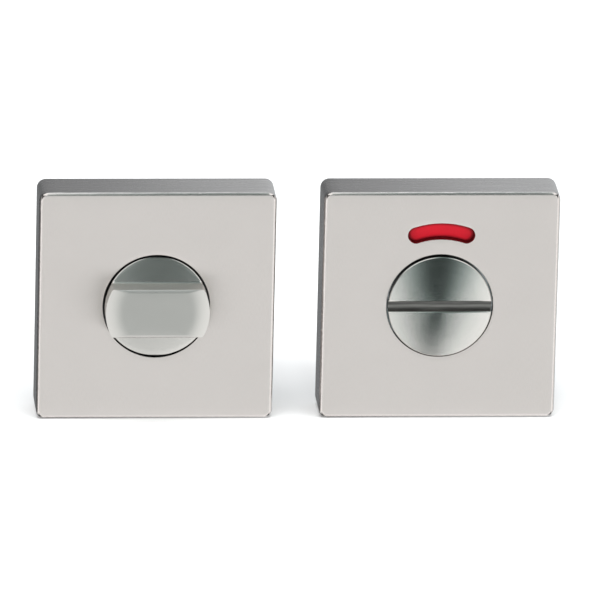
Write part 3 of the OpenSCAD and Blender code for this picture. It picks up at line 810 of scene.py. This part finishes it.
def satin_finish(look):
    """Brushed stainless steel. The face spreads light sideways, as upright brushing does. The
    sides have fine lines along them and the upper and lower side are bowed a little. What lies
    inside a cover, such as the walls of its openings, is painted darker as painted shade. Lines,
    streaks and clouds are counted per metre."""
    fine, upright, level_wide, level_fine = 16000.0, 900.0, 300.0, 9000.0
    streak_wide, streak_fine, clouds = 60.0, 2600.0, 90.0
    line_tilt, line_shade, cloud_shade, streak_shade, inside_shade = 0.10, 0.012, 0.010, 0.08, 0.86
    face_rough, side_rough, line_rough, face_stretch = 0.41, 0.26, 0.02, 0.85
    wall_skin, face_skin = 0.6 * MM, 0.12 * MM
    upward_from_to, facing_from_to = (0.35, 0.75), (0.93, 0.99)
    made, tree = new_material("satin_steel")
    x, y, z, _, u = from_spindle(tree)
    normal = tree.normal()
    _, facing, upward = (abs(part) for part in tree.parts(normal))
    level = tree.ramp(upward, *upward_from_to)
    upright_lines = tree.noise(tree.vector(x * fine, y * fine, z * upright), 1.0)
    level_lines = tree.noise(tree.vector(x * level_wide, y * level_fine, z * level_fine), 1.0)
    lines = upright_lines + (level_lines - upright_lines) * level
    across = tree.cross(tree.vector(level, 0.0, 1.0 - level), normal)
    bow = u * level * (look.side_bow * 2 / ROSE_W)
    tilted = tree.unit(normal + across * (lines * line_tilt) + tree.vector(bow, 0.0, 0.0))
    edge = ROSE_W / 2 - wall_skin
    # marks what lies inside a cover, where painted shade darkens the colour
    inside = (tree.maths("LESS_THAN", abs(u), edge) * tree.maths("LESS_THAN", abs(z), edge)
              * tree.maths("GREATER_THAN", y, face_skin - ROSE_T))
    soft = tree.noise(tree.place(), clouds, 3.0)
    streak = tree.noise(tree.vector(x * streak_wide, y * streak_fine, z * streak_fine), 1.0, 1.0)
    # painted shade: the colour is darkened on what lies inside a cover
    shade = ((lines * line_shade + soft * cloud_shade + streak * level * streak_shade + 1.0)
             * (1.0 - inside * inside_shade))
    base = tree.vector(*look.satin) * shade
    face = tree.metal(base, lines * line_rough + face_rough, tilted, stretch=face_stretch)
    side = tree.metal(base, lines * line_rough + side_rough, tilted)
    on_face = tree.ramp(facing, *facing_from_to)
    tree.ends_in(tree.node("ShaderNodeMixShader", {}, {0: on_face, 1: side, 2: face}))
    return made


def turned_finish(look):
    """Turned stainless steel. Fine rings round the nearer spindle spread light towards and away
    from it, and both faces are domed a little. The grip bar is satin all over. The floor of the
    coin slot keeps the marks of the mill, is painted lighter as painted light, and has two light
    lines that are partly mill marks and partly painted highlights. The side of a head is painted
    dark inside the cover's hole, as painted shade. Rings and grains are counted per metre."""
    ring_fine, ring_deep, ring_parts, grains, speckle = 9000.0, 900.0, 1.5, 160.0, 91000.0
    mill_wide, mill_fine, mill_deep = 200.0, 2400.0, 2000.0
    track_pitch, track_start = 1.3 * MM, 1.2
    # painted light lifts the slot floor and painted highlights ride on its lines; painted shade
    # darkens the side of a head inside the hole
    mill_shade, track_and_highlight_share, slot_painted_light = 0.3, 0.45, 0.3
    ring_shade, grain_shade, hole_shade_loss = 0.03, 0.015, 0.75
    disc_rough, release_rough, bar_rough, wall_rough, slot_rough = 0.24, 0.15, 0.38, 0.14, 0.45
    ring_rough, disc_dome, slot_half, slot_skin = 0.01, 0.4, 1.25 * MM, 0.75 * MM
    hole_from, hole_to, bar_fade = 0.05 * MM - ROSE_T, 2.2 * MM - ROSE_T, 0.4 * MM
    bar_foot, wall_foot, wall_top = ROSE_T + 0.8 * MM, BAR_TOP - 1.2 * MM, BAR_TOP - 0.5 * MM
    made, tree = new_material("turned_steel")
    x, y, z, on_release, u = from_spindle(tree)
    out = y * -1.0
    radius = tree.maths("SQRT", u * u + z * z)
    outward = tree.unit(tree.vector(u, 0.0, z))
    rings = tree.noise(tree.vector(radius * ring_fine, tree.maths("ARCTAN2", z, u) * ring_parts,
                                   y * ring_deep), 1.0)
    bar = tree.ramp(out, bar_foot, bar_foot + bar_fade) * (1.0 - on_release)
    wall = bar * (1.0 - tree.ramp(out, wall_foot, wall_top))
    slot = on_release * (tree.maths("LESS_THAN", abs(z), slot_half)
                         * tree.maths("GREATER_THAN", y, slot_skin - RELEASE_FACE))
    turned = (1.0 - bar) * (1.0 - slot)
    spread = on_release * (1.0 - look.disc_spread) + look.disc_spread
    dome = (on_release * (1.0 - disc_dome) + disc_dome) * (look.turned_dome / HEAD_R)
    # painted shade: the side of a head inside the cover's hole is darkened
    in_hole_shade = tree.maths("GREATER_THAN", y, hole_from) * tree.maths("LESS_THAN", y, hole_to)
    chance = tree.node("ShaderNodeTexWhiteNoise", {}, {"Vector": tree.place() * speckle})
    tilt = ((chance - 0.5) * spread * look.turned_spread + radius * dome) * turned
    tilted = tree.unit(tree.normal() + tree.to_scene(outward) * tilt)
    # two light lines across the slot floor: partly mill marks, partly painted highlights
    tracks_and_highlights = tree.maths("COSINE", z * (TURN / track_pitch) + track_start)
    milled_and_lit = (tree.noise(tree.vector(x * mill_wide, y * mill_deep, z * mill_fine), 1.0)
              * mill_shade + tracks_and_highlights * track_and_highlight_share + slot_painted_light)
    grain = tree.noise(tree.place(), grains) * grain_shade
    # painted light on the slot floor and painted shade on the side inside the hole go into the
    # colour here
    shade = ((rings * turned * ring_shade + milled_and_lit * slot + grain + 1.0)
             * (1.0 - in_hole_shade * hole_shade_loss))
    base = tree.vector(*look.turned) * shade
    rough = (on_release * (release_rough - disc_rough) + disc_rough
             + bar * (bar_rough - disc_rough) + wall * wall_rough
             + slot * (slot_rough - release_rough) + rings * ring_rough)
    tree.ends_in(tree.metal(base, rough, tilted))
    return made


def window_shade(tree, node):
    """Shade that the rim of the window casts on a film which lies behind it: 1 in the middle of
    the window and less near its edge, by the distance from the window's middle line. The line
    lies nearer the spindle than the window's own, because light comes from above."""
    lowered, clear, dark, loss = 0.2 * MM, 0.9 * MM, 1.55 * MM, 0.6
    cover = settings().cover
    low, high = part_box(node)
    middle = math.atan2((low[0] + high[0]) / 2 - PITCH, (low[2] + high[2]) / 2)
    _, _, z, _, u = from_spindle(tree)
    off = abs(tree.maths("ARCTAN2", u, z) - middle)
    past = tree.maths("MAXIMUM", off - cover.window_half_angle, 0.0) * cover.window_r
    out = tree.maths("SQRT", u * u + z * z) - (cover.window_r - lowered)
    reach = tree.maths("SQRT", out * out + past * past)
    return 1.0 - tree.ramp(reach, clear, dark) * loss


# Colour, roughness, bump, grains per metre, metallic and specular level of a plain finish
PLAIN = {
    "plated_steel": ("plated", 0.22, 0.05, 9000.0, 1.0, 0.5),
    "spring_steel": ("spring", 0.34, 0.05, 9000.0, 1.0, 0.5),
    "cast_zinc": ("zinc", 0.48, 0.5, 5200.0, 1.0, 0.5),
    "nylon": ("nylon", 0.42, 0.1, 2400.0, 0.0, 0.5),
    "red_film": ("red", 0.5, 0.03, 2400.0, 0.0, 0.2),
    "white_film": ("white", 0.5, 0.03, 2400.0, 0.0, 0.2),
}
FILMS = {"red_film": "occupied_sector", "white_film": "vacant_sector"}


def plain_finish(slot, look):
    """Cast, plated or oiled metal, nylon or printed film: a fine even grain under faint clouds.
    A film is shaded by the rim of the window."""
    rgb, roughness, bump_share, grains, metallic, shine = PLAIN[slot]
    clouds, bump_height = 220.0, 0.02 * MM
    fine_shade, cloud_shade, fine_rough, cloud_rough = 0.04, 0.03, 0.03, 0.02
    made, tree = new_material(slot)
    fine = tree.noise(tree.place(), grains, 3.0, 0.6)
    cloud = tree.noise(tree.place(), clouds)
    shade = fine * fine_shade + cloud * cloud_shade + 1.0
    if slot in FILMS:
        shade = shade * window_shade(tree, FILMS[slot])
    base = tree.vector(*getattr(look, rgb)) * shade
    bump = tree.node("ShaderNodeBump", {}, {"Strength": bump_share, "Distance": bump_height,
                                            "Height": fine})
    rough = fine * fine_rough + cloud * cloud_rough + roughness
    tree.ends_in(tree.metal(base, rough, bump, metallic, shine))
    return made


def finish_of(slot):
    """Material of one slot of the record. It is made when it is first asked for."""
    known = bpy.data.materials.get(slot)
    if known and known.get("is_finish"):
        return known
    if known:
        known.name = f"{slot}_as_packed"
    look = settings().finish
    makers = {"satin_steel": satin_finish, "turned_steel": turned_finish}
    made = makers[slot](look) if slot in makers else plain_finish(slot, look)
    made["is_finish"] = True
    return made


# Operators

class BoltSettings(bpy.types.PropertyGroup):
    """All settings of the set"""
    cover: PointerProperty(name="Covers", description="Sizes of the covers", type=CoverSizes)
    head: PointerProperty(name="Heads", description="Sizes of the heads", type=HeadSizes)
    fixing: PointerProperty(name="Fixings", description="Sizes of the fixings", type=FixingSizes)
    finish: PointerProperty(name="Finishes", description="Colours", type=FinishColours)
    studio: PointerProperty(name="Studio", description="Camera and light", type=StudioSettings)


def settings():
    """The settings of the scene."""
    return bpy.context.scene.indicator_bolt


def slot_of(node):
    """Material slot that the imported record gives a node."""
    return next(part["material_slot"] for part in frame["record"]["subparts"]
                if part["node"] == node)


def body_of(node):
    """Body that a node rides on."""
    bodies = frame["record"]["behaviour"]["bodies"]
    return next(body for body, nodes in bodies.items() if node in nodes)


class BOLT_OT_covers(bpy.types.Operator):
    """Makes the two pressed covers"""
    bl_idname = "indicator_bolt.covers"
    bl_label = "Covers"

    def execute(self, context):
        """Makes each cover in place of its node."""
        for side, at in (("inside", INSIDE_AT), ("outside", OUTSIDE_AT)):
            sheets = cover_sheets(at, settings().cover, side == "outside")
            make_piece(f"{side}_pressed_cover", sheets, f"{side}_cover")
        return {"FINISHED"}


class BOLT_OT_heads(bpy.types.Operator):
    """Makes the thumb turn and the release"""
    bl_idname = "indicator_bolt.heads"
    bl_label = "Thumb turn and release"

    def execute(self, context):
        """Makes both heads in place of their nodes."""
        sizes = settings().head
        make_piece("thumb_turn_head", [thumb_turn_sheet(sizes)], "thumb_turn")
        make_piece("release_head", [release_sheet(sizes)], "release_turn")
        return {"FINISHED"}


class BOLT_OT_fixings(bpy.types.Operator):
    """Makes the threaded bolts and pillars"""
    bl_idname = "indicator_bolt.fixings"
    bl_label = "Bolts and pillars"

    def execute(self, context):
        """Makes both pairs in place of their nodes."""
        sizes = settings().fixing
        for name, sheet, node in (("threaded_bolts", bolt_sheet, "fixing_bolts"),
                                  ("tapped_pillars", pillar_sheet, "threaded_pillars")):
            make_piece(name, [sheet(sizes, side) for side in (-1, 1)], node)
        return {"FINISHED"}


class BOLT_OT_inner_parts(bpy.types.Operator):
    """Rounds the edges of the cast and stamped parts and gives every inner part its finish"""
    bl_idname = "indicator_bolt.inner_parts"
    bl_label = "Inner parts"

    def execute(self, context):
        """Rounds what has edges, and dresses the rest as it is."""
        rounded = {"inside_base_plate": 0.25, "outside_base_plate": 0.25, "spindle": 0.2,
                   "turn_stop_plate": 0.1, "turn_circlip": 0.08, "release_circlip": 0.08,
                   "indicator_plate": 0.08, "spindle_grub_screw": 0.12}
        for node, radius in rounded.items():
            soften(node, radius * MM)
        for node in ("inside_bearing_bush", "outside_bearing_bush", "inside_cover_springs",
                     "outside_cover_springs", "turn_spring_washer", "release_spring_washer",
                     "occupied_sector", "vacant_sector"):
            coat(frame["nodes"][node], node)
        return {"FINISHED"}


def add_light(name, power, size, at, aim):
    """Square soft light that isn't mirrored in the steel."""
    lamp = bpy.data.lights.new(name, "AREA")
    lamp.shape = "SQUARE"
    lamp.size = size
    lamp.energy = power
    holder = add_object(name, lamp)
    holder.location = at
    holder.rotation_euler = (Vector(aim) - Vector(at)).to_track_quat("-Z", "Y").to_euler()
    holder.visible_glossy = False
    holder.visible_camera = False


def add_camera(studio):
    """Camera that looks at the set from its azimuth and elevation, rolled about its own line."""
    sensor_in_mm, nearest = 36.0, 0.01
    lens = bpy.data.cameras.new("camera")
    lens.lens = studio.lens
    lens.sensor_width = sensor_in_mm
    lens.clip_start = nearest
    azimuth, elevation = studio.azimuth, studio.elevation
    back = Vector((math.sin(azimuth) * math.cos(elevation),
                   -math.cos(azimuth) * math.cos(elevation), math.sin(elevation)))
    level = (-back).cross(Vector((0, 0, 1))).normalized()
    upward = level.cross(-back)
    cosine, sine = math.cos(studio.roll), math.sin(studio.roll)
    right, up = level * cosine + upward * sine, upward * cosine - level * sine
    holder = add_object("camera", lens)
    turn = Matrix((right, up, back)).transposed().to_4x4()
    place = Vector(studio.look_at) + back * studio.distance
    holder.matrix_world = Matrix.Translation(place) @ turn
    bpy.context.scene.camera = holder


def add_surroundings():
    """White room that the steel mirrors. Its side panels are bright and dim towards their far
    ends. The gap between them in front is dark and a little green, and it is wider and further
    right the higher it is. The far floor and the ceiling are lighter than the gap, and the room
    behind is dim below its ceiling. What the camera sees past the floor is plain white."""
    side_light, right_gain, gap_light, front_ceiling = 1.25, 0.06, 0.045, 0.24
    near_floor, far_floor = 0.10, 0.78
    gap_at, gap_lean = math.radians(4.7), 0.06
    gap_half, gap_spread, gap_ends = math.radians(20.4), 0.4, (math.radians(6), math.radians(20))
    gap_core, gap_edge = 0.14, 1.08
    left_loss, right_loss = 0.9, 0.35
    back_light, back_right, back_left = 0.24, 0.33, 0.18
    green_red, green_blue, cool_red, cool_blue = 0.26, 0.03, 0.05, 0.04
    world = bpy.data.worlds.new("studio")
    bpy.context.scene.world = world
    tree = Tree(world)
    x, y, z = tree.parts(tree.node("ShaderNodeTexCoord", output="Generated"))
    left = x * -1.0
    around = abs(tree.maths("ARCTAN2", x, y * -1.0))
    height = tree.maths("ARCSINE", z)

    def rise(angle, low, high):
        return tree.ramp(angle, math.radians(low), math.radians(high))

    below = (1.0 - rise(height, -44, -26)) * (rise(height, -80, -48) * far_floor + near_floor)
    front = below + rise(height, 45, 90) * front_ceiling + gap_light
    off_gap = abs(tree.maths("ARCSINE", x) - (height * gap_lean + gap_at))
    gap_w = tree.maths("MAXIMUM", height * gap_spread + gap_half, gap_ends[0])
    gap_w = tree.maths("MINIMUM", gap_w, gap_ends[1])
    past_gap = tree.ramp(off_gap / gap_w, gap_core, gap_edge)
    side = tree.ramp(x, -0.3, 0.3) * right_gain + side_light
    aside = 1.0 - tree.ramp(abs(y), 0.35, 0.6)
    dim = (tree.ramp(left, 0.7, 0.95) * left_loss + tree.ramp(x, 0.7, 0.95) * right_loss) * aside
    panels = (front + (side - front) * past_gap) * (1.0 - dim)
    behind = (tree.ramp(x, 0.0, 0.16) * back_right + back_light
              - tree.ramp(left, 0.25, 0.5) * back_left)
    behind = behind + (side_light - behind) * rise(height, 52, 76)
    at_back = rise(around, 95, 125)
    room = panels + (behind - panels) * at_back
    green = (1.0 - past_gap) * (1.0 - at_back) * rise(height, -40, -22)
    tinted = tree.vector(room * (1.0 - green * green_red - at_back * cool_red), room,
                         room * (1.0 - green * green_blue + at_back * cool_blue))
    seen = tree.node("ShaderNodeLightPath", output="Is Camera Ray")
    shader = tree.node("ShaderNodeBackground", {}, {"Color": tinted + (1.0 - tinted) * seen})
    tree.ends_in(shader)


def add_floor(studio):
    """Pale floor that the set stands on. The steel mirrors the room instead of it."""
    reach = 3.0
    low = CAD_BOX[0][2]
    mesh = bpy.data.meshes.new("floor")
    mesh.from_pydata([(-reach, -reach, low), (reach, -reach, low), (reach, reach, low),
                      (-reach, reach, low)], [], [(0, 1, 2, 3)])
    made, tree = new_material("pale_floor")
    pale = (studio.floor, studio.floor, studio.floor, 1.0)
    tree.ends_in(tree.node("ShaderNodeBsdfDiffuse", {}, {"Color": pale}))
    mesh.materials.append(made)
    floor = add_object("floor", mesh)
    floor.visible_glossy = False


class BOLT_OT_stage(bpy.types.Operator):
    """Adds the floor, the light and the camera"""
    bl_idname = "indicator_bolt.stage"
    bl_label = "Stage"

    def execute(self, context):
        """Builds the studio round the set."""
        studio = settings().studio
        context.scene.view_settings.view_transform = "Standard"
        context.scene.view_settings.look = "None"
        add_surroundings()
        add_floor(studio)
        light_w, light_at, aim = 0.9, (PITCH / 2, -0.2, 0.9), (PITCH / 2, 0.0, 0.0)
        add_light("overhead", studio.overhead, light_w, light_at, aim)
        add_camera(studio)
        return {"FINISHED"}


class BOLT_PT_panel(bpy.types.Panel):
    """Lists the steps and the settings"""
    bl_label = "Indicator bolt"
    bl_idname = "BOLT_PT_panel"
    bl_space_type = "VIEW_3D"
    bl_region_type = "UI"
    bl_category = "Indicator bolt"

    def draw(self, context):
        """Draws a button for each step, then the settings by group."""
        layout = self.layout
        for step in STEPS:
            layout.operator(step.bl_idname)
        groups = context.scene.indicator_bolt
        for name in type(groups).__annotations__:
            group = getattr(groups, name)
            box = layout.box()
            box.label(text=groups.bl_rna.properties[name].name)
            for entry in type(group).__annotations__:
                box.prop(group, entry)


STEPS = (BOLT_OT_covers, BOLT_OT_heads, BOLT_OT_fixings, BOLT_OT_inner_parts, BOLT_OT_stage)
CLASSES = (CoverSizes, HeadSizes, FixingSizes, FinishColours, StudioSettings, BoltSettings,
           *STEPS, BOLT_PT_panel)


def register():
    """Adds the classes and the settings."""
    for entry in CLASSES:
        bpy.utils.register_class(entry)
    bpy.types.Scene.indicator_bolt = PointerProperty(
        name="Indicator bolt", description="Settings of the set", type=BoltSettings)


def unregister():
    """Takes the settings and the classes away."""
    del bpy.types.Scene.indicator_bolt
    for entry in reversed(CLASSES):
        bpy.utils.unregister_class(entry)


def main():
    """Makes every piece and the stage."""
    register()
    bpy.ops.indicator_bolt.covers()
    bpy.ops.indicator_bolt.heads()
    bpy.ops.indicator_bolt.fixings()
    bpy.ops.indicator_bolt.inner_parts()
    bpy.ops.indicator_bolt.stage()


if __name__ == "__main__":
    main()
